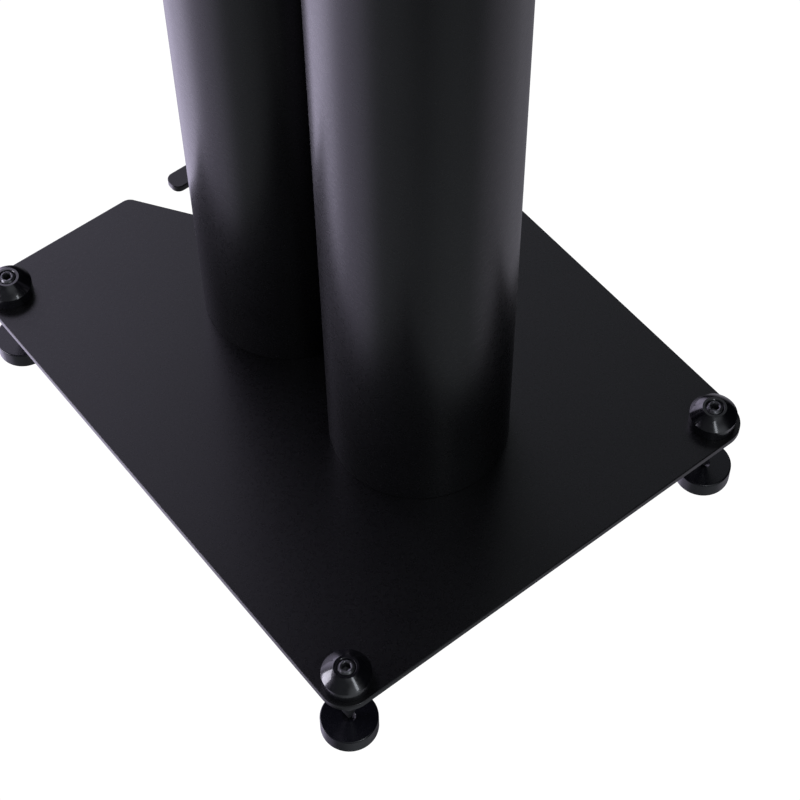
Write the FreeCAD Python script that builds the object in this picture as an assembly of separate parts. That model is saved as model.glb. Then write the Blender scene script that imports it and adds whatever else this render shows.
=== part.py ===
"""Speaker stand: base plate, two round columns, top plate and four levelling spikes.

Frame: millimetres, +Z up, front towards -Y. The origin is on the floor, under the middle
of the base plate.
"""
import FreeCAD
import Part
import math
import os

V = FreeCAD.Vector

# ---------------------------------------------------------------- driving dimensions
STAND_HEIGHT = 600.0        # floor to the top face of the top plate

BASE_WIDTH = 255.0
BASE_DEPTH = 313.0
BASE_THICKNESS = 4.0
BASE_TOP = 48.0             # floor to the base plate's top face
BASE_CORNER = 14.0

TOP_WIDTH = 200.0
TOP_DEPTH = 250.0
TOP_THICKNESS = 4.0
TOP_CORNER = 14.0

COLUMN_RADIUS = 44.45
COLUMN_WALL = 3.0
COLUMN_SPACING = 106.0      # between the two axes, front to rear

PLUG_THICKNESS = 12.0
PLUG_GAP = 0.1              # round a plug, inside its tube

# Cable hole: a round hole behind the rear column, open to the rear edge by a slanted
# mouth between a lip on the left and a finger that comes from the right.
HOOK_HOLE_RADIUS = 16.7
HOOK_HOLE_X = 8.0
HOOK_FINGER_WIDTH = 11.3
HOOK_FINGER_TIP_X = -7.5
HOOK_MOUTH_ANGLE = math.radians(56.0)   # of the lip's slanted side, from the rear edge
HOOK_LIP_RADIUS = 6.0
HOOK_FINGER_RADIUS = 4.5

# Countersunk screws between plates and plugs
SCREW_COUNT = 3
SCREW_CIRCLE = 28.0         # radius of the circle that they stand on
SCREW_RADIUS = 3.0
SCREW_LENGTH = 16.0
SCREW_HEAD_RADIUS = 6.0
SCREW_HEAD_HEIGHT = 3.0
SCREW_KEY = 4.0             # across the flats of the socket
SCREW_KEY_DEPTH = 2.2
SCREW_GAP = 0.2             # round a screw and its head

# Levelling spikes
FOOT_INSET = 14.0           # from the plate's sides to a spike's axis
STUD_RADIUS = 4.0
STUD_GAP = 0.08             # running clearance in the threads
STUD_CHAMFER = 0.8
SPIKE_CONE_LENGTH = 18.0
SPIKE_CONE_RADIUS = 5.5
SPIKE_TIP_RADIUS = 0.5
SPIKE_KEY = 4.0
SPIKE_KEY_DEPTH = 5.0
SPIKE_PROUD = 0.6           # stud end above its cap
NUT_FLATS = 13.0
NUT_HEIGHT = 6.5

# Locking caps
CAP_RADIUS = 11.8
CAP_SKIRT = 6.8             # straight part, up to the shoulder
CAP_HEIGHT = 12.0
CAP_TOP_RADIUS = 6.0
CAP_BULGE = 0.3             # how far the dome stands out from a plain cone

# Floor discs
DISC_RADIUS = 14.0
DISC_HEIGHT = 9.4
DISC_EDGE = 0.6
DISC_DIMPLE_DEPTH = 1.6
DISC_DIMPLE_RADIUS = 3.2
DISC_TIP_GAP = 0.05         # spike point to the bottom of its dimple
DISC_TIP_ROOM = 0.25        # round the spike's point
DISC_PAD_THICKNESS = 1.0
DISC_PAD_MARGIN = 1.2       # from the disc's rim to its pad's rim
DISC_PAD_RECESS = 0.4

# Pads under the loudspeaker
SPEAKER_PAD_RADIUS = 9.0
SPEAKER_PAD_HEIGHT = 2.0
SPEAKER_PAD_INSET = 16.0

# ---------------------------------------------------------------- places worked out
BASE_BOTTOM = BASE_TOP - BASE_THICKNESS
TOP_BOTTOM = STAND_HEIGHT - TOP_THICKNESS
COLUMN_BORE = COLUMN_RADIUS - COLUMN_WALL
COLUMN_Y = {"front": -COLUMN_SPACING / 2, "rear": COLUMN_SPACING / 2}

FOOT_X = BASE_WIDTH / 2 - FOOT_INSET
FOOT_Y = BASE_DEPTH / 2 - FOOT_INSET
CORNERS = {
    "front_left": (-FOOT_X, -FOOT_Y),
    "front_right": (FOOT_X, -FOOT_Y),
    "rear_left": (-FOOT_X, FOOT_Y),
    "rear_right": (FOOT_X, FOOT_Y),
}

DISC_BOTTOM = DISC_PAD_THICKNESS - DISC_PAD_RECESS
DISC_TOP = DISC_BOTTOM + DISC_HEIGHT
SPIKE_POINT = DISC_TOP - DISC_DIMPLE_DEPTH + DISC_TIP_GAP
SPIKE_TOP = BASE_TOP + CAP_HEIGHT + SPIKE_PROUD


# ---------------------------------------------------------------- helpers
def save(name, shape):
    """Write one sub-part to its own file."""
    shape.exportStep("parts/" + name + ".step")


def cylinder(radius, height, x=0.0, y=0.0, z=0.0):
    return Part.makeCylinder(radius, height, V(x, y, z))


def hexagon(flats, height, x, y, z):
    """Upright hexagonal prism, measured across its flats."""
    corner = flats / math.sqrt(3.0)
    points = []
    for i in range(7):
        angle = math.radians(60.0 * i)
        points.append(V(x + corner * math.cos(angle), y + corner * math.sin(angle), z))
    return Part.Face(Part.makePolygon(points)).extrude(V(0, 0, height))


def turned(profile, x=0.0, y=0.0):
    """Solid of revolution about an upright axis. profile holds (radius, height) points."""
    points = [V(r, 0, z) for r, z in profile]
    face = Part.Face(Part.makePolygon(points + [points[0]]))
    solid = face.revolve(V(0, 0, 0), V(0, 0, 1), 360.0)
    solid.translate(V(x, y, 0))
    return solid


def corner_arc(before, corner, after, radius):
    """Tangent arc that rounds one corner of an outline: its start, middle and end."""
    to_before = (before - corner).normalize()
    to_after = (after - corner).normalize()
    half = to_before.getAngle(to_after) / 2
    reach = radius / math.tan(half)
    middle_line = (to_before + to_after).normalize()
    middle = corner + middle_line * (radius / math.sin(half) - radius)
    return corner + to_before * reach, middle, corner + to_after * reach


def rounded_path(corners, start, end):
    """Edges from start to end through corners, each given as (x, y, radius)."""
    path = [V(*start, 0)] + [V(x, y, 0) for x, y, _ in corners] + [V(*end, 0)]
    edges = []
    pen = path[0]
    for i, (_, _, radius) in enumerate(corners, start=1):
        first, middle, last = corner_arc(path[i - 1], path[i], path[i + 1], radius)
        edges.append(Part.LineSegment(pen, first).toShape())
        edges.append(Part.Arc(first, middle, last).toShape())
        pen = last
    edges.append(Part.LineSegment(pen, path[-1]).toShape())
    return edges


def screw_places(column_y):
    """The screws' axes round one column's axis."""
    places = []
    for i in range(SCREW_COUNT):
        angle = 2 * math.pi * i / SCREW_COUNT + math.pi / 2
        places.append((SCREW_CIRCLE * math.cos(angle), column_y + SCREW_CIRCLE * math.sin(angle)))
    return places


def mirrored(shape, height):
    """Turn a shape upside down about the level at this height."""
    return shape.mirror(V(0, 0, height), V(0, 0, 1))


# ---------------------------------------------------------------- screws and their holes
def screw(x, y, head_face):
    """Countersunk screw with its point up. Its head is flush with the level head_face."""
    shank_top = head_face + SCREW_LENGTH
    head_top = head_face + SCREW_HEAD_HEIGHT
    tip = SCREW_RADIUS - STUD_CHAMFER
    body = turned([
        (0, head_face), (SCREW_HEAD_RADIUS, head_face), (SCREW_RADIUS, head_top),
        (SCREW_RADIUS, shank_top - STUD_CHAMFER), (tip, shank_top), (0, shank_top),
    ], x, y)
    return body.cut(hexagon(SCREW_KEY, SCREW_KEY_DEPTH, x, y, head_face))


def screw_hole(x, y, head_face):
    """Room for one screw and its head, open below the head's face."""
    head = SCREW_HEAD_RADIUS + SCREW_GAP
    shank = SCREW_RADIUS + SCREW_GAP
    head_top = head_face + SCREW_HEAD_HEIGHT + SCREW_GAP
    end = head_face + SCREW_LENGTH + SCREW_GAP
    return turned([
        (0, head_face - 1), (head, head_face - 1), (head, head_face + SCREW_GAP),
        (shank, head_top), (shank, end), (0, end),
    ], x, y)


def screw_group(flip_height=None):
    """All six screws of one plate. The top plate's screws point down."""
    solids = []
    for column_y in COLUMN_Y.values():
        for x, y in screw_places(column_y):
            solid = screw(x, y, BASE_BOTTOM)
            if flip_height is not None:
                solid = mirrored(solid, flip_height)
            solids.append(solid)
    return Part.makeCompound(solids)


# Half way between the two plates' outer faces: the top plate's screws mirror the base's.
MIRROR_HEIGHT = (BASE_BOTTOM + STAND_HEIGHT) / 2


# ---------------------------------------------------------------- plates
def base_outline():
    """Face of the base plate: four round corners and the hook-shaped cable hole."""
    side = BASE_WIDTH / 2
    rear = BASE_DEPTH / 2
    finger_inner = rear - HOOK_FINGER_WIDTH
    hole_y = finger_inner - HOOK_HOLE_RADIUS
    # The lip's slanted side touches the round hole: its normal points to the hole's middle.
    normal_x = math.sin(HOOK_MOUTH_ANGLE)
    normal_y = math.cos(HOOK_MOUTH_ANGLE)
    touch = (HOOK_HOLE_X - HOOK_HOLE_RADIUS * normal_x, hole_y - HOOK_HOLE_RADIUS * normal_y)
    lip_x = touch[0] - (rear - touch[1]) / math.tan(HOOK_MOUTH_ANGLE)
    finger_root = (HOOK_HOLE_X, finger_inner)
    edges = rounded_path([
        (lip_x, rear, HOOK_LIP_RADIUS),
        (-side, rear, BASE_CORNER),
        (-side, -rear, BASE_CORNER),
        (side, -rear, BASE_CORNER),
        (side, rear, BASE_CORNER),
        (HOOK_FINGER_TIP_X, rear, HOOK_FINGER_RADIUS),
        (HOOK_FINGER_TIP_X, finger_inner, HOOK_FINGER_RADIUS),
    ], touch, finger_root)
    far_side = V(HOOK_HOLE_X + HOOK_HOLE_RADIUS * normal_x,
                 hole_y - HOOK_HOLE_RADIUS * normal_y, 0)
    hole = Part.Arc(V(*finger_root, 0), far_side, V(*touch, 0)).toShape()
    return Part.Face(Part.Wire(edges + [hole]))


def base_plate():
    plate = base_outline().extrude(V(0, 0, BASE_THICKNESS))
    plate.translate(V(0, 0, BASE_BOTTOM))
    holes = []
    for x, y in CORNERS.values():
        holes.append(cylinder(STUD_RADIUS + STUD_GAP, BASE_THICKNESS + 2, x, y, BASE_BOTTOM - 1))
    for column_y in COLUMN_Y.values():
        for x, y in screw_places(column_y):
            holes.append(screw_hole(x, y, BASE_BOTTOM))
    return plate.cut(Part.makeCompound(holes))


def top_plate():
    side = TOP_WIDTH / 2
    rear = TOP_DEPTH / 2
    edges = rounded_path([
        (-side, rear, TOP_CORNER),
        (-side, -rear, TOP_CORNER),
        (side, -rear, TOP_CORNER),
        (side, rear, TOP_CORNER),
    ], (0.0, rear), (0.0, rear))
    plate = Part.Face(Part.Wire(edges)).extrude(V(0, 0, TOP_THICKNESS))
    plate.translate(V(0, 0, TOP_BOTTOM))
    holes = []
    for column_y in COLUMN_Y.values():
        for x, y in screw_places(column_y):
            holes.append(mirrored(screw_hole(x, y, BASE_BOTTOM), MIRROR_HEIGHT))
    return plate.cut(Part.makeCompound(holes))


# ---------------------------------------------------------------- columns
def column(column_y):
    height = TOP_BOTTOM - BASE_TOP
    outer = cylinder(COLUMN_RADIUS, height, 0, column_y, BASE_TOP)
    return outer.cut(cylinder(COLUMN_BORE, height + 2, 0, column_y, BASE_TOP - 1))


def lower_plug(column_y):
    """Tapped disc, flush with the tube's lower end."""
    solid = cylinder(COLUMN_BORE - PLUG_GAP, PLUG_THICKNESS, 0, column_y, BASE_TOP)
    for x, y in screw_places(column_y):
        solid = solid.cut(cylinder(SCREW_RADIUS + STUD_GAP, PLUG_THICKNESS + 2, x, y, BASE_TOP - 1))
    return solid


def upper_plug(column_y):
    """The same disc, flush with the tube's upper end."""
    solid = lower_plug(column_y)
    solid.translate(V(0, 0, TOP_BOTTOM - BASE_TOP - PLUG_THICKNESS))
    return solid


# ---------------------------------------------------------------- feet
def spike(x, y):
    """Threaded stud, drawn as its outer cylinder, with a key socket and a cone."""
    shoulder = SPIKE_POINT + SPIKE_CONE_LENGTH
    neck = shoulder + (SPIKE_CONE_RADIUS - STUD_RADIUS)
    solid = turned([
        (0, SPIKE_POINT), (SPIKE_TIP_RADIUS, SPIKE_POINT), (SPIKE_CONE_RADIUS, shoulder),
        (STUD_RADIUS, neck), (STUD_RADIUS, SPIKE_TOP - STUD_CHAMFER),
        (STUD_RADIUS - STUD_CHAMFER, SPIKE_TOP), (0, SPIKE_TOP),
    ], x, y)
    return solid.cut(hexagon(SPIKE_KEY, SPIKE_KEY_DEPTH + 1, x, y, SPIKE_TOP - SPIKE_KEY_DEPTH))


def lock_cap(x, y):
    """Domed cap: a straight skirt, a dome from its shoulder and a flat top ring."""
    bore = STUD_RADIUS + STUD_GAP
    shoulder = V(CAP_RADIUS, 0, BASE_TOP + CAP_SKIRT)
    rim = V(CAP_TOP_RADIUS, 0, BASE_TOP + CAP_HEIGHT)
    slope = rim - shoulder
    outward = V(-slope.z, 0, slope.x).normalize() * -1
    crown = (shoulder + rim) * 0.5 + outward * CAP_BULGE
    foot = V(CAP_RADIUS, 0, BASE_TOP)
    top_inner = V(bore, 0, BASE_TOP + CAP_HEIGHT)
    foot_inner = V(bore, 0, BASE_TOP)
    wire = Part.Wire([
        Part.LineSegment(foot_inner, foot).toShape(),
        Part.LineSegment(foot, shoulder).toShape(),
        Part.Arc(shoulder, crown, rim).toShape(),
        Part.LineSegment(rim, top_inner).toShape(),
        Part.LineSegment(top_inner, foot_inner).toShape(),
    ])
    solid = Part.Face(wire).revolve(V(0, 0, 0), V(0, 0, 1), 360.0)
    solid.translate(V(x, y, 0))
    return solid


def spike_nut(x, y):
    """Weld nut against the base plate's underside."""
    body = hexagon(NUT_FLATS, NUT_HEIGHT, x, y, BASE_BOTTOM - NUT_HEIGHT)
    return body.cut(cylinder(STUD_RADIUS + STUD_GAP, NUT_HEIGHT + 2, x, y, BASE_BOTTOM - NUT_HEIGHT - 1))


def floor_disc(x, y):
    """Disc with a dimple for the spike's point and a shallow recess for its pad."""
    pad_radius = DISC_RADIUS - DISC_PAD_MARGIN
    recess = DISC_PAD_THICKNESS
    dimple_floor = SPIKE_TIP_RADIUS + DISC_TIP_ROOM
    return turned([
        (0, recess), (pad_radius + PLUG_GAP, recess), (pad_radius + PLUG_GAP, DISC_BOTTOM),
        (DISC_RADIUS - DISC_EDGE, DISC_BOTTOM), (DISC_RADIUS, DISC_BOTTOM + DISC_EDGE),
        (DISC_RADIUS, DISC_TOP - DISC_EDGE), (DISC_RADIUS - DISC_EDGE, DISC_TOP),
        (DISC_DIMPLE_RADIUS, DISC_TOP), (dimple_floor, DISC_TOP - DISC_DIMPLE_DEPTH),
        (0, DISC_TOP - DISC_DIMPLE_DEPTH),
    ], x, y)


def disc_pad(x, y):
    return cylinder(DISC_RADIUS - DISC_PAD_MARGIN, DISC_PAD_THICKNESS, x, y, 0)


def speaker_pads():
    x = TOP_WIDTH / 2 - SPEAKER_PAD_INSET
    y = TOP_DEPTH / 2 - SPEAKER_PAD_INSET
    solids = []
    for sx in (-1, 1):
        for sy in (-1, 1):
            solids.append(cylinder(SPEAKER_PAD_RADIUS, SPEAKER_PAD_HEIGHT, sx * x, sy * y, STAND_HEIGHT))
    return Part.makeCompound(solids)


# ---------------------------------------------------------------- write every sub-part
os.makedirs("parts", exist_ok=True)
save("base_plate", base_plate())
save("top_plate", top_plate())
save("base_screws", screw_group())
save("top_screws", screw_group(MIRROR_HEIGHT))
save("speaker_pads", speaker_pads())
save("spike_nuts", Part.makeCompound([spike_nut(x, y) for x, y in CORNERS.values()]))
for place, column_y in COLUMN_Y.items():
    save(place + "_column", column(column_y))
    save(place + "_lower_plug", lower_plug(column_y))
    save(place + "_upper_plug", upper_plug(column_y))
for place, (foot_x, foot_y) in CORNERS.items():
    save("spike_" + place, spike(foot_x, foot_y))
    save("lock_cap_" + place, lock_cap(foot_x, foot_y))
    save("floor_disc_" + place, floor_disc(foot_x, foot_y))
    save("disc_pad_" + place, disc_pad(foot_x, foot_y))
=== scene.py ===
"""Looks of the speaker stand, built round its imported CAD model.

Metres, +Z up, front towards -Y, the origin on the floor under the middle of the base plate.
"""
import math

import bmesh
import bpy
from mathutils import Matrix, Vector


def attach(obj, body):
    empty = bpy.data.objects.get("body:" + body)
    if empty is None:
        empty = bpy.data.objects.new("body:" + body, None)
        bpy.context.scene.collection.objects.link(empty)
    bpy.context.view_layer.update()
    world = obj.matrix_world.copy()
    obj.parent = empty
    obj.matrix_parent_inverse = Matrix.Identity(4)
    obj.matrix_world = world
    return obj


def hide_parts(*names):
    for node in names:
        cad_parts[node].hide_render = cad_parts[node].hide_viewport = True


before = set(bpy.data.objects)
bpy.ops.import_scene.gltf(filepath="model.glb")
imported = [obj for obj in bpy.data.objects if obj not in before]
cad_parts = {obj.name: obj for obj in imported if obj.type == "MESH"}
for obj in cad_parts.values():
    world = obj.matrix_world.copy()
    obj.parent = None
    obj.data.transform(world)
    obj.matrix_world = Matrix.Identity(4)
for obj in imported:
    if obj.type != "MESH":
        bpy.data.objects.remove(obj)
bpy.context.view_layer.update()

MM = 0.001

# ---------------------------------------------------------------- sizes, as in the CAD source
STAND_HEIGHT = 600 * MM

BASE_WIDTH = 255 * MM
BASE_DEPTH = 313 * MM
BASE_TOP = 48 * MM
PLATE_THICKNESS = 4 * MM
PLATE_CORNER = 14 * MM
PLATE_EDGE = 0.45 * MM          # the coat's rounding along a plate's edges

TOP_WIDTH = 200 * MM
TOP_DEPTH = 250 * MM

COLUMN_RADIUS = 44.45 * MM
COLUMN_WALL = 3 * MM
COLUMN_SPACING = 106 * MM
COLUMN_EDGE = 0.5 * MM

HOOK_HOLE_RADIUS = 16.7 * MM
HOOK_HOLE_X = 8 * MM
HOOK_FINGER_WIDTH = 11.3 * MM
HOOK_FINGER_TIP_X = -7.5 * MM
HOOK_MOUTH_ANGLE = math.radians(56)
HOOK_LIP_RADIUS = 6 * MM
HOOK_FINGER_RADIUS = 4.5 * MM

SCREW_COUNT = 3
SCREW_CIRCLE = 28 * MM
SCREW_RADIUS = 3 * MM
SCREW_LENGTH = 16 * MM
SCREW_HEAD_RADIUS = 6 * MM
SCREW_HEAD_HEIGHT = 3 * MM
SCREW_KEY = 4 * MM
SCREW_KEY_DEPTH = 2.2 * MM
SCREW_KEY_LIP = 0.25 * MM       # the socket's chamfer, in depth
SCREW_KEY_RIM = 0.75 * MM       # and in width
SCREW_KEY_TIP = 0.7 * MM        # the drill point below the socket
SCREW_HEAD_FLAT = 1.2 * MM      # level ring inside the head's rim
SCREW_HEAD_RIM = 0.25 * MM
SCREW_HEAD_EDGE = 0.4 * MM      # steep part below the rim
SCREW_HEAD_TAPER = 0.1 * MM     # which narrows by this
SCREW_NECK_ROUND = 0.4 * MM
SCREW_KEY_TAPER = 0.1 * MM
SCREW_DRILL_RADIUS = 0.3 * MM
SCREW_GAP = 0.2 * MM

FOOT_INSET = 14 * MM
STUD_RADIUS = 4 * MM
STUD_GAP = 0.08 * MM
STUD_CHAMFER = 0.8 * MM
THREAD_LEAD = 1.25 * MM
THREAD_DEPTH = 0.7 * MM
THREAD_ROWS = 8                 # rows of points for each turn
SPIKE_CONE_LENGTH = 18 * MM
SPIKE_CONE_RADIUS = 5.5 * MM
SPIKE_TIP_RADIUS = 0.5 * MM
SPIKE_POINT = 8.45 * MM
SPIKE_TOP = 60.6 * MM
SPIKE_SHOULDER_ROUND = 0.6 * MM
SPIKE_KEY = 4 * MM
SPIKE_KEY_DEPTH = 5 * MM
SPIKE_KEY_LIP = 0.35 * MM
SPIKE_KEY_RIM = 0.6 * MM
SPIKE_KEY_TIP = 0.8 * MM
SPIKE_TOP_ROUND = 0.15 * MM     # the top edge's rounding, in width
SPIKE_TOP_EDGE = 0.1 * MM       # and in height
SPIKE_DRILL_RADIUS = 0.2 * MM
NUT_FLATS = 13 * MM
NUT_HEIGHT = 6.5 * MM
NUT_COUNTERSINK = 0.6 * MM
NUT_CHAMFER_ANGLE = math.radians(30)
NUT_FACE_INSET = 0.15 * MM

CAP_RADIUS = 11.8 * MM
CAP_SKIRT = 6.8 * MM
CAP_HEIGHT = 12 * MM
CAP_TOP_RADIUS = 6.0 * MM
CAP_BULGE = 0.3 * MM
CAP_FOOT_ROUND = 0.3 * MM
CAP_FOOT_INSET = 0.05 * MM
CAP_RIM_ROUND = 0.25 * MM
CAP_COUNTERSINK = 0.7 * MM
CAP_COUNTERSINK_ROUND = 0.12 * MM

DISC_RADIUS = 14 * MM
DISC_BOTTOM = 0.6 * MM
DISC_TOP = 10 * MM
DISC_EDGE = 0.7 * MM
DISC_FOOT_EDGE = 0.3 * MM
DISC_DIMPLE_DEPTH = 1.6 * MM
DISC_DIMPLE_RADIUS = 3.2 * MM
DISC_DIMPLE_FLOOR = 0.75 * MM
DISC_DIMPLE_EDGE = 0.2 * MM
DISC_PAD_RADIUS = 12.8 * MM
DISC_PAD_TOP = 1 * MM
DISC_PAD_EDGE = 0.25 * MM
DISC_PAD_GAP = 0.1 * MM

SPEAKER_PAD_RADIUS = 9 * MM
SPEAKER_PAD_HEIGHT = 2 * MM
SPEAKER_PAD_INSET = 16 * MM
SPEAKER_PAD_RIM = 1.6 * MM      # width of the raised rim
SPEAKER_PAD_SLOPE = 0.8 * MM    # width of the slope inside it
SPEAKER_PAD_DISH = 0.3 * MM     # depth of the dish
SPEAKER_PAD_DISH_ROUND = 0.3 * MM
SPEAKER_PAD_FOOT_EDGE = 0.15 * MM
SPEAKER_PAD_TOP_EDGE = 0.7 * MM

BASE_BOTTOM = BASE_TOP - PLATE_THICKNESS
TOP_BOTTOM = STAND_HEIGHT - PLATE_THICKNESS
FOOT_X = BASE_WIDTH / 2 - FOOT_INSET
FOOT_Y = BASE_DEPTH / 2 - FOOT_INSET
COLUMN_Y = {"front": -COLUMN_SPACING / 2, "rear": COLUMN_SPACING / 2}
CORNERS = {
    "front_left": (-FOOT_X, -FOOT_Y),
    "front_right": (FOOT_X, -FOOT_Y),
    "rear_left": (-FOOT_X, FOOT_Y),
    "rear_right": (FOOT_X, FOOT_Y),
}

# ---------------------------------------------------------------- how finely shapes are divided
SEGMENTS = 72                   # round small parts; a multiple of six, so that hexagons keep corners
COLUMN_SEGMENTS = 192
ARC_STEPS = 6                   # in one rounded corner of a profile
OUTLINE_STEPS = 14              # in one rounded corner of a plate
HOLE_STEPS = 64                 # in the cable hole's arc
DOME_STEPS = 12
ROUND_HOLE_STEPS = 40           # in a plate's round holes
THREAD_CREST = 0.12             # share of a groove's half width that is crest, and that is root
ON_AXIS = 0.02 * MM             # radius of a turned profile's ends, which a fan closes
SMOOTH_ANGLE = math.radians(34)
GUARD = 0.35                    # share of an arc's radius to the guard point beside it
TINY = 1e-7


# ---------------------------------------------------------------- outlines and profiles
def filleted(corners, closed=False, steps=ARC_STEPS, guard=GUARD):
    """The points of a path whose corners, given as (a, b, radius), are rounded.
    A guard point on each side of an arc keeps its shading off the flat beside it."""
    points = []
    count = len(corners)
    for i, (a, b, radius) in enumerate(corners):
        here = Vector((a, b))
        if radius <= 0 or (not closed and i in (0, count - 1)):
            points.append(here)
            continue
        back = (Vector(corners[i - 1][:2]) - here).normalized()
        ahead = (Vector(corners[(i + 1) % count][:2]) - here).normalized()
        half = back.angle(ahead) / 2
        centre = here + (back + ahead).normalized() * (radius / math.sin(half))
        first = here + back * (radius / math.tan(half)) - centre
        last = here + ahead * (radius / math.tan(half)) - centre
        sweep = first.angle(last)
        if guard:
            points.append(centre + first + back * (radius * guard))
        for k in range(steps + 1):
            t = k / steps
            mixed = first * math.sin((1 - t) * sweep) + last * math.sin(t * sweep)
            points.append(centre + mixed / math.sin(sweep))
        if guard:
            points.append(centre + last + ahead * (radius * guard))
    return points


def circle(radius, z, count=SEGMENTS):
    """A level loop of points. A radius near nothing gives the same number of equal points."""
    turn = 2 * math.pi / count
    return [(radius * math.cos(i * turn), radius * math.sin(i * turn), z) for i in range(count)]


def hexagon_radius(flats, angle):
    """From the middle of a hexagon to its side, in the direction of angle."""
    sixth = math.pi / 3
    return flats / 2 / math.cos(angle % sixth - sixth / 2)


def hexagon(flats, z, count=SEGMENTS):
    """A level hexagonal loop with as many points as a circle, corners at 0, 60, 120 degrees."""
    loop = []
    for i in range(count):
        angle = 2 * math.pi * i / count
        radius = hexagon_radius(flats, angle + TINY)
        loop.append((radius * math.cos(angle), radius * math.sin(angle), z))
    return loop


def level_circle_loop(x, y, radius, count=ROUND_HOLE_STEPS):
    """A clockwise circle, for a hole through a plate."""
    turn = -2 * math.pi / count
    return [Vector((x + radius * math.cos(i * turn), y + radius * math.sin(i * turn)))
            for i in range(count)]


# ---------------------------------------------------------------- mesh making
class Shape:
    """Collects closed lofts and slabs, and makes one object of them."""

    def __init__(self):
        self.bm = bmesh.new()

    def loft(self, loops, at=(0, 0, 0), closed=False, turned_over=False):
        """Skin through loops of equally many points. An open loft is closed by a fan at each end."""
        bm = self.bm
        sign = -1 if turned_over else 1
        rings = []
        for loop in loops:
            rings.append([bm.verts.new((x + at[0], y + at[1], sign * z + at[2])) for x, y, z in loop])
        pairs = list(zip(rings, rings[1:]))
        if closed:
            pairs.append((rings[-1], rings[0]))
        for lower, upper in pairs:
            for i in range(len(lower)):
                k = (i + 1) % len(lower)
                bm.faces.new((lower[i], lower[k], upper[k], upper[i]))
        if not closed:
            for ring in (rings[0], rings[-1]):
                middle = sum((v.co for v in ring), Vector()) / len(ring)
                tip = bm.verts.new(middle)
                for i in range(len(ring)):
                    bm.faces.new((ring[i], ring[(i + 1) % len(ring)], tip))

    def turned(self, profile, at=(0, 0, 0), closed=False, count=SEGMENTS):
        """Solid of revolution of a profile of (radius, height) points."""
        self.loft([circle(r, z, count) for r, z in profile], at, closed)

    def slab(self, outline, holes, low, high, edge):
        """A plate with rounded edges. The outline runs anticlockwise and the holes clockwise."""
        bm = self.bm
        profile = [(-edge * (1 + GUARD), low)]
        profile += [(-edge * (1 - math.sin(a)), low + edge * (1 - math.cos(a)))
                    for a in [math.pi / 2 * k / ARC_STEPS for k in range(ARC_STEPS + 1)]]
        profile += [(inset, low + high - z) for inset, z in reversed(profile)]
        ends = ([], [])
        for path in [outline] + holes:
            outward = []
            for i, here in enumerate(path):
                along = (path[(i + 1) % len(path)] - here).normalized()
                along += (here - path[i - 1]).normalized()
                outward.append(Vector((along.y, -along.x)).normalized())
            rings = []
            for inset, z in profile:
                points = [here + out * inset for here, out in zip(path, outward)]
                rings.append([bm.verts.new((p.x, p.y, z)) for p in points])
            for lower, upper in zip(rings, rings[1:]):
                for i in range(len(lower)):
                    k = (i + 1) % len(lower)
                    bm.faces.new((lower[i], lower[k], upper[k], upper[i]))
            for end, ring in zip(ends, (rings[0], rings[-1])):
                for i in range(len(ring)):
                    end.append(bm.edges.get((ring[i], ring[(i + 1) % len(ring)])))
        for end in ends:
            bmesh.ops.triangle_fill(bm, use_beauty=True, edges=end)

    def mesh(self, name):
        """The collected mesh, cleaned, with smooth shading up to the fillets' angle."""
        bmesh.ops.remove_doubles(self.bm, verts=self.bm.verts, dist=TINY)
        bmesh.ops.recalc_face_normals(self.bm, faces=self.bm.faces)
        data = bpy.data.meshes.new(name)
        self.bm.to_mesh(data)
        self.bm.free()
        for polygon in data.polygons:
            polygon.use_smooth = True
        data.set_sharp_from_angle(angle=SMOOTH_ANGLE)
        return data


def place(name, data, material, body, node, at=(0, 0, 0)):
    """Show a mesh in place of a CAD node, on that node's body."""
    piece = bpy.data.objects.new(name, data)
    bpy.context.scene.collection.objects.link(piece)
    piece.location = at
    if not data.materials:
        data.materials.append(material)
    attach(piece, body)
    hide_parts(node)
    return piece


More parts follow.
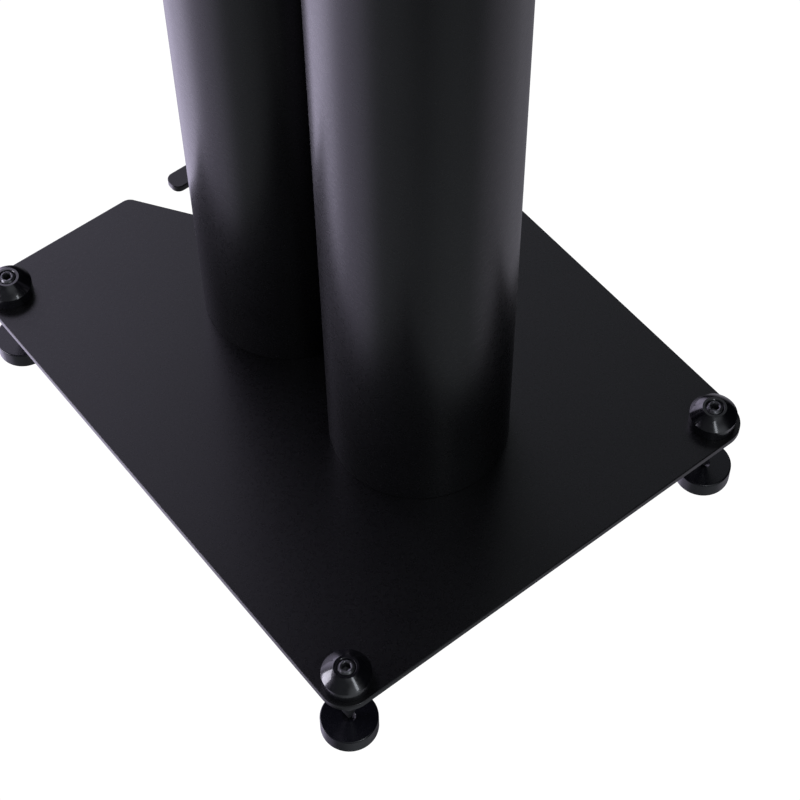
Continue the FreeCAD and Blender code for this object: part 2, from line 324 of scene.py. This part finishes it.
# ---------------------------------------------------------------- material making
class Paint:
    """A node material on one Principled shader, in the piece's own coordinates."""

    def __init__(self, name, metallic=0.0, specular=0.5, coat=0.0, coat_roughness=0.1, sheen=0.0):
        self.material = bpy.data.materials.new(name)
        self.material.use_nodes = True
        self.tree = self.material.node_tree
        self.tree.nodes.clear()
        output = self.tree.nodes.new("ShaderNodeOutputMaterial")
        self.shader = self.tree.nodes.new("ShaderNodeBsdfPrincipled")
        self.tree.links.new(self.shader.outputs["BSDF"], output.inputs["Surface"])
        self.shader.inputs["Metallic"].default_value = metallic
        self.shader.inputs["Specular IOR Level"].default_value = specular
        self.shader.inputs["Coat Weight"].default_value = coat
        self.shader.inputs["Coat Roughness"].default_value = coat_roughness
        self.shader.inputs["Sheen Weight"].default_value = sheen
        self.where = self.tree.nodes.new("ShaderNodeTexCoord").outputs["Object"]
        self.height = None

    def link(self, out, into):
        self.tree.links.new(out, into)

    def stretched(self, scale):
        """The piece's coordinates, scaled along each axis."""
        mapping = self.tree.nodes.new("ShaderNodeMapping")
        mapping.inputs["Scale"].default_value = scale
        self.link(self.where, mapping.inputs["Vector"])
        return mapping.outputs["Vector"]

    def noise(self, scale, detail=2.0, rough=0.5, where=None):
        node = self.tree.nodes.new("ShaderNodeTexNoise")
        node.inputs["Scale"].default_value = scale
        node.inputs["Detail"].default_value = detail
        node.inputs["Roughness"].default_value = rough
        self.link(where or self.where, node.inputs["Vector"])
        return node.outputs["Fac"]

    def cells(self, scale):
        node = self.tree.nodes.new("ShaderNodeTexVoronoi")
        node.feature = "SMOOTH_F1"
        node.inputs["Scale"].default_value = scale
        self.link(self.where, node.inputs["Vector"])
        return node.outputs["Distance"]

    def rings(self, scale, distortion=0.6):
        """Fine rings round the piece's upright axis, as a lathe leaves."""
        node = self.tree.nodes.new("ShaderNodeTexWave")
        node.wave_type = "RINGS"
        node.rings_direction = "Z"
        node.inputs["Scale"].default_value = scale
        node.inputs["Distortion"].default_value = distortion
        node.inputs["Detail"].default_value = 2.0
        self.link(self.where, node.inputs["Vector"])
        return node.outputs["Fac"]

    def spread(self, value, low, high, start=0.3, end=0.7):
        """Map a texture's value from start..end to low..high."""
        node = self.tree.nodes.new("ShaderNodeMapRange")
        node.interpolation_type = "SMOOTHSTEP"
        node.inputs["From Min"].default_value = start
        node.inputs["From Max"].default_value = end
        node.inputs["To Min"].default_value = low
        node.inputs["To Max"].default_value = high
        self.link(value, node.inputs["Value"])
        return node.outputs["Result"]

    def mix(self, value, first, second):
        """Blend two colours, or a colour and a socket, by a value."""
        node = self.tree.nodes.new("ShaderNodeMix")
        node.data_type = "RGBA"
        self.link(value, node.inputs["Factor"])
        for socket, colour in ((node.inputs[6], first), (node.inputs[7], second)):
            if isinstance(colour, tuple):
                socket.default_value = (*colour, 1.0)
            else:
                self.link(colour, socket)
        return node.outputs[2]

    def colour(self, out):
        self.link(out, self.shader.inputs["Base Color"])

    def roughness(self, out):
        self.link(out, self.shader.inputs["Roughness"])

    def bump(self, value, strength, distance):
        """Add one layer of relief over those before it."""
        node = self.tree.nodes.new("ShaderNodeBump")
        node.inputs["Strength"].default_value = strength
        node.inputs["Distance"].default_value = distance
        self.link(value, node.inputs["Height"])
        if self.height is not None:
            self.link(self.height, node.inputs["Normal"])
        self.height = node.outputs["Normal"]
        self.link(self.height, self.shader.inputs["Normal"])


def powder_coat():
    """Fine satin powder coat: a pebbled grain, faint clouding and tiny lighter specks."""
    paint = Paint("powder_coat")
    cloud = paint.noise(14.0, 3.0)
    speck = paint.noise(1900.0, 1.0)
    base = paint.mix(paint.spread(cloud, 0.0, 1.0), (0.0034, 0.0034, 0.0037), (0.0052, 0.0052, 0.0056))
    paint.colour(paint.mix(paint.spread(speck, 0.0, 0.6, 0.58, 0.80), base, (0.020, 0.020, 0.022)))
    paint.roughness(paint.spread(paint.noise(420.0, 3.0), 0.265, 0.295))
    paint.bump(paint.cells(2300.0), 0.08, 0.05 * MM)
    paint.bump(paint.noise(260.0, 2.0), 0.03, 0.06 * MM)
    return paint.material


def cap_gloss():
    """Glossy black lacquer over a turned cap."""
    paint = Paint("cap_gloss", coat=0.6, coat_roughness=0.06)
    paint.colour(paint.mix(paint.noise(160.0, 3.0), (0.003, 0.003, 0.004), (0.007, 0.007, 0.009)))
    paint.roughness(paint.spread(paint.noise(700.0, 3.0), 0.16, 0.26))
    paint.bump(paint.rings(520.0), 0.03, 0.05 * MM)
    paint.bump(paint.noise(900.0, 2.0), 0.04, 0.05 * MM)
    return paint.material


def disc_black():
    """Black finish on a turned disc: rings from the lathe under a satin coat."""
    paint = Paint("disc_black")
    paint.colour(paint.mix(paint.noise(120.0, 3.0), (0.0045, 0.0045, 0.0070), (0.0075, 0.0075, 0.0110)))
    paint.roughness(paint.spread(paint.noise(600.0, 3.0), 0.20, 0.28))
    paint.bump(paint.rings(620.0), 0.06, 0.05 * MM)
    paint.bump(paint.noise(1100.0, 2.0), 0.06, 0.05 * MM)
    return paint.material


def spike_black():
    """Blackened steel: dark, slightly metallic, with rubbed spots."""
    paint = Paint("spike_black", metallic=0.7)
    rubbed = paint.spread(paint.noise(260.0, 4.0), 0.0, 1.0, 0.52, 0.78)
    paint.colour(paint.mix(rubbed, (0.10, 0.10, 0.105), (0.24, 0.24, 0.25)))
    paint.roughness(paint.spread(paint.noise(800.0, 3.0), 0.26, 0.42))
    paint.bump(paint.noise(1500.0, 2.0), 0.08, 0.04 * MM)
    return paint.material


def plain_steel():
    """Zinc-plated steel: pale metal with faint clouding and drawing marks."""
    paint = Paint("plain_steel", metallic=1.0)
    cloud = paint.noise(180.0, 4.0)
    marks = paint.noise(300.0, 2.0, where=paint.stretched((1.0, 1.0, 9.0)))
    paint.colour(paint.mix(cloud, (0.42, 0.42, 0.43), (0.62, 0.62, 0.62)))
    paint.roughness(paint.spread(marks, 0.24, 0.42))
    paint.bump(marks, 0.08, 0.05 * MM)
    return paint.material


def screw_black():
    """Black oxide on a screw, a little worn."""
    paint = Paint("screw_black", metallic=0.8)
    worn = paint.spread(paint.noise(420.0, 4.0), 0.0, 1.0, 0.50, 0.80)
    paint.colour(paint.mix(worn, (0.030, 0.030, 0.033), (0.12, 0.12, 0.125)))
    paint.roughness(paint.spread(paint.noise(900.0, 3.0), 0.30, 0.46))
    paint.bump(paint.noise(1300.0, 2.0), 0.10, 0.04 * MM)
    return paint.material


def pad_rubber():
    """Matt black rubber with a fine moulded grain and a trace of dust."""
    paint = Paint("pad_rubber", specular=0.3)
    dust = paint.spread(paint.noise(220.0, 4.0), 0.0, 0.5, 0.50, 0.85)
    paint.colour(paint.mix(dust, (0.012, 0.012, 0.012), (0.045, 0.044, 0.043)))
    paint.roughness(paint.spread(paint.noise(500.0, 2.0), 0.62, 0.80))
    paint.bump(paint.cells(1600.0), 0.25, 0.08 * MM)
    return paint.material


def pad_felt():
    """Dark felt: short crossing fibres."""
    paint = Paint("pad_felt", specular=0.2, sheen=0.4)
    fibres = paint.noise(900.0, 5.0, 0.7, paint.stretched((1.0, 3.0, 1.0)))
    crossing = paint.noise(900.0, 5.0, 0.7, paint.stretched((3.0, 1.0, 1.0)))
    paint.colour(paint.mix(fibres, (0.018, 0.018, 0.020), (0.060, 0.060, 0.066)))
    paint.roughness(paint.spread(crossing, 0.82, 0.98))
    paint.bump(fibres, 0.5, 0.2 * MM)
    paint.bump(crossing, 0.4, 0.2 * MM)
    return paint.material


MATERIALS = {
    "powder_coat": powder_coat(),
    "cap_gloss": cap_gloss(),
    "disc_black": disc_black(),
    "spike_black": spike_black(),
    "plain_steel": plain_steel(),
    "screw_black": screw_black(),
    "pad_rubber": pad_rubber(),
    "pad_felt": pad_felt(),
}


# ---------------------------------------------------------------- plates and columns
def screw_places():
    """Every screw's axis, three round each column's."""
    places = []
    for column_y in COLUMN_Y.values():
        for i in range(SCREW_COUNT):
            angle = 2 * math.pi * i / SCREW_COUNT + math.pi / 2
            places.append((SCREW_CIRCLE * math.cos(angle), column_y + SCREW_CIRCLE * math.sin(angle)))
    return places


def base_outline():
    """The base plate's outline with the hook-shaped cable hole in its rear edge."""
    side = BASE_WIDTH / 2
    rear = BASE_DEPTH / 2
    finger_inner = rear - HOOK_FINGER_WIDTH
    hole_y = finger_inner - HOOK_HOLE_RADIUS
    touch_x = HOOK_HOLE_X - HOOK_HOLE_RADIUS * math.sin(HOOK_MOUTH_ANGLE)
    touch_y = hole_y - HOOK_HOLE_RADIUS * math.cos(HOOK_MOUTH_ANGLE)
    lip_x = touch_x - (rear - touch_y) / math.tan(HOOK_MOUTH_ANGLE)
    points = filleted([
        (touch_x, touch_y, 0),
        (lip_x, rear, HOOK_LIP_RADIUS),
        (-side, rear, PLATE_CORNER),
        (-side, -rear, PLATE_CORNER),
        (side, -rear, PLATE_CORNER),
        (side, rear, PLATE_CORNER),
        (HOOK_FINGER_TIP_X, rear, HOOK_FINGER_RADIUS),
        (HOOK_FINGER_TIP_X, finger_inner, HOOK_FINGER_RADIUS),
        (HOOK_HOLE_X, finger_inner, 0),
    ], steps=OUTLINE_STEPS, guard=0)
    start = math.pi / 2
    end = math.atan2(touch_y - hole_y, touch_x - HOOK_HOLE_X)
    sweep = start - end
    for k in range(1, HOLE_STEPS):
        angle = start - sweep * k / HOLE_STEPS
        points.append(Vector((HOOK_HOLE_X + HOOK_HOLE_RADIUS * math.cos(angle),
                              hole_y + HOOK_HOLE_RADIUS * math.sin(angle))))
    return points


def base_plate():
    shape = Shape()
    holes = [level_circle_loop(x, y, STUD_RADIUS + STUD_GAP) for x, y in CORNERS.values()]
    holes += [level_circle_loop(x, y, SCREW_HEAD_RADIUS + SCREW_GAP) for x, y in screw_places()]
    shape.slab(base_outline(), holes, BASE_BOTTOM, BASE_TOP, PLATE_EDGE)
    return shape.mesh("base_plate_look")


def top_plate():
    shape = Shape()
    x = TOP_WIDTH / 2
    y = TOP_DEPTH / 2
    outline = filleted([(-x, y, PLATE_CORNER), (-x, -y, PLATE_CORNER), (x, -y, PLATE_CORNER),
                        (x, y, PLATE_CORNER)], closed=True, steps=OUTLINE_STEPS, guard=0)
    holes = [level_circle_loop(*at, SCREW_HEAD_RADIUS + SCREW_GAP) for at in screw_places()]
    shape.slab(outline, holes, TOP_BOTTOM, STAND_HEIGHT, PLATE_EDGE)
    return shape.mesh("top_plate_look")


def column():
    """A tube with softened ends."""
    shape = Shape()
    inner = COLUMN_RADIUS - COLUMN_WALL
    profile = filleted([
        (inner, BASE_TOP, COLUMN_EDGE), (COLUMN_RADIUS, BASE_TOP, COLUMN_EDGE),
        (COLUMN_RADIUS, TOP_BOTTOM, COLUMN_EDGE), (inner, TOP_BOTTOM, COLUMN_EDGE),
    ], closed=True)
    shape.turned(profile, closed=True, count=COLUMN_SEGMENTS)
    return shape.mesh("column_look")


def screws(face, up):
    """Six countersunk screws with hexagon sockets, their heads flush with the level face."""
    shape = Shape()
    head = filleted([
        (SCREW_HEAD_RADIUS - SCREW_HEAD_FLAT, 0, 0), (SCREW_HEAD_RADIUS, 0, SCREW_HEAD_RIM),
        (SCREW_HEAD_RADIUS - SCREW_HEAD_TAPER, SCREW_HEAD_EDGE, 0),
        (SCREW_RADIUS, SCREW_HEAD_HEIGHT, SCREW_NECK_ROUND),
        (SCREW_RADIUS, SCREW_LENGTH - STUD_CHAMFER, 0),
        (SCREW_RADIUS - STUD_CHAMFER, SCREW_LENGTH, 0),
    ])
    loops = [
        circle(SCREW_DRILL_RADIUS, SCREW_KEY_DEPTH + SCREW_KEY_TIP),
        hexagon(SCREW_KEY - SCREW_KEY_TAPER, SCREW_KEY_DEPTH),
        hexagon(SCREW_KEY, SCREW_KEY_LIP),
        circle(SCREW_KEY / 2 + SCREW_KEY_RIM, 0),
    ]
    loops += [circle(r, z) for r, z in head]
    for x, y in screw_places():
        shape.loft(loops, at=(x, y, face), turned_over=not up)
    return shape.mesh("screws_look")


# ---------------------------------------------------------------- feet
def thread_radius(angle, z):
    """The thread's surface: flat crests and V grooves that climb by one lead a turn."""
    phase = (z / THREAD_LEAD - angle / (2 * math.pi)) % 1.0
    groove = 1 - abs(2 * phase - 1)
    flank = (groove - THREAD_CREST) / (1 - 2 * THREAD_CREST)
    return STUD_RADIUS - THREAD_DEPTH * min(1.0, max(0.0, flank))


def spike():
    """Point, cone, shoulder, threaded stud and key socket."""
    shoulder = SPIKE_POINT + SPIKE_CONE_LENGTH
    neck = shoulder + SPIKE_CONE_RADIUS - STUD_RADIUS
    lower = filleted([
        (ON_AXIS, SPIKE_POINT, 0), (SPIKE_TIP_RADIUS, SPIKE_POINT, SPIKE_TIP_RADIUS / 2),
        (SPIKE_CONE_RADIUS, shoulder, SPIKE_SHOULDER_ROUND),
        (STUD_RADIUS - THREAD_DEPTH, neck + THREAD_DEPTH, 0),
    ])
    loops = [circle(r, z) for r, z in lower]
    start = neck + THREAD_DEPTH
    end = SPIKE_TOP - STUD_CHAMFER
    rows = round((end - start) / THREAD_LEAD * THREAD_ROWS)
    for k in range(1, rows + 1):
        z = start + (end - start) * k / rows
        fade = min(1.0, k / THREAD_ROWS)        # the thread runs out into its undercut
        loop = []
        for i in range(SEGMENTS):
            angle = 2 * math.pi * i / SEGMENTS
            radius = thread_radius(angle, z)
            root = STUD_RADIUS - THREAD_DEPTH
            radius = root + (radius - root) * fade
            loop.append((radius * math.cos(angle), radius * math.sin(angle), z))
        loops.append(loop)
    loops += [
        circle(STUD_RADIUS - STUD_CHAMFER, SPIKE_TOP - SPIKE_TOP_EDGE),
        circle(STUD_RADIUS - STUD_CHAMFER - SPIKE_TOP_ROUND, SPIKE_TOP),
        circle(SPIKE_KEY / 2 + SPIKE_KEY_RIM, SPIKE_TOP),
        hexagon(SPIKE_KEY, SPIKE_TOP - SPIKE_KEY_LIP),
        hexagon(SPIKE_KEY, SPIKE_TOP - SPIKE_KEY_DEPTH),
        circle(SPIKE_DRILL_RADIUS, SPIKE_TOP - SPIKE_KEY_DEPTH - SPIKE_KEY_TIP),
    ]
    shape = Shape()
    shape.loft(loops)
    return shape.mesh("spike_look")


def lock_cap():
    """Skirt, shoulder line, dome and a countersunk top ring."""
    bore = STUD_RADIUS + STUD_GAP
    shoulder = Vector((CAP_RADIUS, BASE_TOP + CAP_SKIRT))
    rim = Vector((CAP_TOP_RADIUS, BASE_TOP + CAP_HEIGHT))
    chord = rim - shoulder
    outward = Vector((chord.y, -chord.x)).normalized()
    radius = (chord.length ** 2 / 4 + CAP_BULGE ** 2) / (2 * CAP_BULGE)
    centre = (shoulder + rim) / 2 + outward * (CAP_BULGE - radius)
    profile = filleted([
        (bore, BASE_TOP, 0), (CAP_RADIUS - CAP_FOOT_INSET, BASE_TOP, CAP_FOOT_ROUND),
        (CAP_RADIUS, BASE_TOP + CAP_SKIRT, 0),
    ])
    for k in range(1, DOME_STEPS):
        ray = (shoulder - centre).lerp(rim - centre, k / DOME_STEPS).normalized()
        profile.append(centre + ray * radius)
    profile += filleted([
        tuple(profile[-1]) + (0,), (rim.x, rim.y, CAP_RIM_ROUND),
        (bore + CAP_COUNTERSINK, rim.y, CAP_COUNTERSINK_ROUND),
        (bore, rim.y - CAP_COUNTERSINK, 0),
    ])[1:]
    shape = Shape()
    shape.turned(profile, closed=True)
    return shape.mesh("lock_cap_look")


def nut():
    """Hexagon nut with chamfered corners and a countersunk bore."""
    bore = STUD_RADIUS + STUD_GAP
    face = NUT_FLATS / 2 - NUT_FACE_INSET
    slope = math.tan(NUT_CHAMFER_ANGLE)
    loops = [circle(bore, NUT_COUNTERSINK), circle(bore + NUT_COUNTERSINK, 0), circle(face, 0)]
    wall_low = []
    for x, y, _ in hexagon(NUT_FLATS, 0):
        radius = math.hypot(x, y)
        wall_low.append((x, y, (radius - face) * slope))
    loops.append(wall_low)
    loops.append([(x, y, NUT_HEIGHT - z) for x, y, z in wall_low])
    loops += [circle(face, NUT_HEIGHT), circle(bore + NUT_COUNTERSINK, NUT_HEIGHT),
              circle(bore, NUT_HEIGHT - NUT_COUNTERSINK)]
    return loops


def spike_nuts():
    shape = Shape()
    for x, y in CORNERS.values():
        shape.loft(nut(), at=(x, y, BASE_BOTTOM - NUT_HEIGHT), closed=True)
    return shape.mesh("spike_nuts_look")


def floor_disc():
    """Turned disc with soft edges, a dimple for the spike's point and a recess for the pad."""
    recess = DISC_PAD_RADIUS + DISC_PAD_GAP
    profile = filleted([
        (ON_AXIS, DISC_PAD_TOP, 0), (recess, DISC_PAD_TOP, 0), (recess, DISC_BOTTOM, 0),
        (DISC_RADIUS, DISC_BOTTOM, DISC_FOOT_EDGE), (DISC_RADIUS, DISC_TOP, DISC_EDGE),
        (DISC_DIMPLE_RADIUS, DISC_TOP, DISC_DIMPLE_EDGE),
        (DISC_DIMPLE_FLOOR, DISC_TOP - DISC_DIMPLE_DEPTH, 0),
        (ON_AXIS, DISC_TOP - DISC_DIMPLE_DEPTH, 0),
    ])
    shape = Shape()
    shape.turned(profile)
    return shape.mesh("floor_disc_look")


def disc_pad():
    profile = filleted([
        (ON_AXIS, 0, 0), (DISC_PAD_RADIUS, 0, DISC_PAD_EDGE),
        (DISC_PAD_RADIUS, DISC_PAD_TOP, 0), (ON_AXIS, DISC_PAD_TOP, 0),
    ])
    shape = Shape()
    shape.turned(profile)
    return shape.mesh("disc_pad_look")


def speaker_pads():
    """Four low rubber pads with a shallow dish in their tops."""
    dish_edge = SPEAKER_PAD_RADIUS - SPEAKER_PAD_RIM
    dish_floor = SPEAKER_PAD_HEIGHT - SPEAKER_PAD_DISH
    profile = filleted([
        (ON_AXIS, 0, 0), (SPEAKER_PAD_RADIUS, 0, SPEAKER_PAD_FOOT_EDGE),
        (SPEAKER_PAD_RADIUS, SPEAKER_PAD_HEIGHT, SPEAKER_PAD_TOP_EDGE),
        (dish_edge, SPEAKER_PAD_HEIGHT, SPEAKER_PAD_DISH_ROUND),
        (dish_edge - SPEAKER_PAD_SLOPE, dish_floor, SPEAKER_PAD_DISH_ROUND),
        (ON_AXIS, dish_floor, 0),
    ])
    shape = Shape()
    x = TOP_WIDTH / 2 - SPEAKER_PAD_INSET
    y = TOP_DEPTH / 2 - SPEAKER_PAD_INSET
    for sx in (-1, 1):
        for sy in (-1, 1):
            shape.turned(profile, at=(sx * x, sy * y, STAND_HEIGHT))
    return shape.mesh("speaker_pads_look")


# ---------------------------------------------------------------- put the pieces in place
coat = MATERIALS["powder_coat"]
place("base_plate_look", base_plate(), coat, "stand", "base_plate")
place("top_plate_look", top_plate(), coat, "stand", "top_plate")
tube = column()
for end, column_y in COLUMN_Y.items():
    place(end + "_column_look", tube, coat, "stand", end + "_column", (0, column_y, 0))
place("base_screws_look", screws(BASE_BOTTOM, True), MATERIALS["screw_black"], "stand",
      "base_screws")
place("top_screws_look", screws(STAND_HEIGHT, False), MATERIALS["screw_black"], "stand",
      "top_screws")
place("spike_nuts_look", spike_nuts(), MATERIALS["plain_steel"], "stand", "spike_nuts")
place("speaker_pads_look", speaker_pads(), MATERIALS["pad_rubber"], "stand",
      "speaker_pads")

FOOT_PIECES = (
    ("spike_", "spike_", "spike_black", spike()),
    ("lock_cap_", "cap_", "cap_gloss", lock_cap()),
    ("floor_disc_", "disc_", "disc_black", floor_disc()),
    ("disc_pad_", "disc_", "pad_felt", disc_pad()),
)
for corner, (foot_x, foot_y) in CORNERS.items():
    for node, body, slot, data in FOOT_PIECES:
        place(node + corner + "_look", data, MATERIALS[slot], body + corner, node + corner,
              (foot_x, foot_y, 0))

for end in COLUMN_Y:
    for level in ("lower", "upper"):
        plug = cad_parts[end + "_" + level + "_plug"]
        plug.data.materials.clear()
        plug.data.materials.append(MATERIALS["plain_steel"])

# ---------------------------------------------------------------- studio
CAMERA_PLACE = (-0.3605, -0.5053, 0.9065)
CAMERA_TURN = (34.5858, 0.4775, -38.3451)     # degrees
CAMERA_LENS = 94.425
CAMERA_BEARING = -127.65        # degrees from +X to the camera, seen from above
CAMERA_SENSOR = 36.0
CAMERA_NEAR = 0.01
CAMERA_FAR = 100.0

ROOM_MIDDLE = 0.01              # radius of the fans that close the floor and the dome
ROOM_RADIUS = 7.0
ROOM_HEIGHT = 7.0
ROOM_FLOOR_ROUND = 2.5
ROOM_TOP_ROUND = 3.0
ROOM_GLOW = 1.05
ROOM_STEPS = 12
ROOM_SEGMENTS = 96

camera = bpy.data.objects.new("camera", bpy.data.cameras.new("camera"))
bpy.context.scene.collection.objects.link(camera)
camera.location = CAMERA_PLACE
camera.rotation_euler = [math.radians(a) for a in CAMERA_TURN]
camera.data.lens = CAMERA_LENS
camera.data.sensor_width = CAMERA_SENSOR
camera.data.clip_start = CAMERA_NEAR
camera.data.clip_end = CAMERA_FAR
bpy.context.scene.camera = camera

bpy.context.scene.view_settings.view_transform = "Standard"


def studio_room():
    """A white floor that curves up into a white dome. Only the camera sees it."""
    profile = filleted([
        (ROOM_MIDDLE, 0, 0), (ROOM_RADIUS, 0, ROOM_FLOOR_ROUND),
        (ROOM_RADIUS, ROOM_HEIGHT, ROOM_TOP_ROUND), (ROOM_MIDDLE, ROOM_HEIGHT, 0),
    ], steps=ROOM_STEPS)
    shape = Shape()
    shape.turned(profile, count=ROOM_SEGMENTS)
    room = bpy.data.objects.new("studio_floor", shape.mesh("studio_floor"))
    bpy.context.scene.collection.objects.link(room)
    white = bpy.data.materials.new("studio_white")
    white.use_nodes = True
    nodes = white.node_tree.nodes
    nodes.clear()
    glow = nodes.new("ShaderNodeEmission")
    glow.inputs["Color"].default_value = (1, 1, 1, 1)
    glow.inputs["Strength"].default_value = ROOM_GLOW
    output = nodes.new("ShaderNodeOutputMaterial")
    white.node_tree.links.new(glow.outputs["Emission"], output.inputs["Surface"])
    room.data.materials.append(white)
    room.visible_diffuse = False
    room.visible_glossy = False
    room.visible_shadow = False


studio_room()

VIOLET = (1.08, 1.00, 1.32)
PALE_VIOLET = (1.03, 1.00, 1.15)
PALE_BLUE = (0.95, 1.00, 1.08)

# Soft light round the stand. Each entry: where it is, its bearing from the camera's side towards the
# left, its elevation, its half width in degrees, its strength and its colour.
SOFT_LIGHTS = (
    ("floor, front", -35, -60, 32, 0.25, PALE_BLUE),
    ("floor, front left", 35, -40, 32, 0.25, PALE_BLUE),
    ("floor, left", 85, -40, 32, 0.65, VIOLET),
    ("floor, rear left", 130, -40, 32, 1.30, VIOLET),
    ("floor, right", -100, -40, 32, 0.38, PALE_VIOLET),
    ("floor, rear right", -155, -40, 32, 0.25, PALE_VIOLET),
    ("left, low", 90, -15, 32, 1.05, VIOLET),
    ("left", 90, 10, 32, 0.60, VIOLET),
    ("rear left", 145, 5, 36, 1.30, VIOLET),
    ("front right", -30, 10, 32, 0.55, PALE_BLUE),
    ("front", 0, 25, 75, 0.13, PALE_BLUE),
    ("rear left, high", 140, 38, 32, 1.50, VIOLET),
    ("rear, high", -174, 38, 32, 0.40, PALE_BLUE),
    ("above, front", -35, 65, 32, 0.40, PALE_BLUE),
)

# Small soft boxes near the feet. Each entry: name, place, what it is aimed at, width and height,
# power in watts and colour. They stand lower than the top plate, so it doesn't mirror them.
SOFT_BOXES = (
    ("strip_light", (-0.09, -0.51, 0.32), (-0.09, -0.14, 0.06), (0.07, 0.30), 0.32, PALE_BLUE),
    ("side_light", (-0.56, 0.256, 0.17), (-0.1135, -0.1425, 0.055), (0.34, 0.28), 2.1, PALE_VIOLET),
)


def studio_light():
    """A dark surrounding with wide soft patches of light, each fixed in the room."""
    world = bpy.data.worlds.new("studio")
    bpy.context.scene.world = world
    world.use_nodes = True
    tree = world.node_tree
    tree.nodes.clear()
    direction = tree.nodes.new("ShaderNodeTexCoord").outputs["Generated"]
    total = tree.nodes.new("ShaderNodeCombineXYZ").outputs["Vector"]
    for _, bearing, elevation, half_width, strength, tint in SOFT_LIGHTS:
        around = math.radians(CAMERA_BEARING - bearing)
        rise = math.radians(elevation)
        aim = (math.cos(rise) * math.cos(around), math.cos(rise) * math.sin(around), math.sin(rise))
        dot = tree.nodes.new("ShaderNodeVectorMath")
        dot.operation = "DOT_PRODUCT"
        dot.inputs[1].default_value = aim
        tree.links.new(direction, dot.inputs[0])
        fade = tree.nodes.new("ShaderNodeMapRange")
        fade.interpolation_type = "SMOOTHSTEP"
        fade.inputs["From Min"].default_value = math.cos(math.radians(half_width))
        fade.inputs["From Max"].default_value = 1.0
        fade.inputs["To Max"].default_value = strength
        tree.links.new(dot.outputs["Value"], fade.inputs["Value"])
        patch = tree.nodes.new("ShaderNodeVectorMath")
        patch.operation = "SCALE"
        patch.inputs[0].default_value = tint
        tree.links.new(fade.outputs["Result"], patch.inputs["Scale"])
        add = tree.nodes.new("ShaderNodeVectorMath")
        add.operation = "ADD"
        tree.links.new(total, add.inputs[0])
        tree.links.new(patch.outputs["Vector"], add.inputs[1])
        total = add.outputs["Vector"]
    sky = tree.nodes.new("ShaderNodeBackground")
    tree.links.new(total, sky.inputs["Color"])
    output = tree.nodes.new("ShaderNodeOutputWorld")
    tree.links.new(sky.outputs["Background"], output.inputs["Surface"])


studio_light()


def soft_boxes():
    """Area lights that give the feet their highlights. The camera doesn't see them."""
    for name, spot, target, size, power, tint in SOFT_BOXES:
        data = bpy.data.lights.new(name, "AREA")
        data.shape = "RECTANGLE"
        data.size, data.size_y = size
        data.energy = power
        data.color = tint
        box = bpy.data.objects.new(name, data)
        bpy.context.scene.collection.objects.link(box)
        box.location = spot
        aim = Vector(target) - Vector(spot)
        box.rotation_euler = aim.to_track_quat("-Z", "Y").to_euler()
        box.visible_camera = False


soft_boxes()
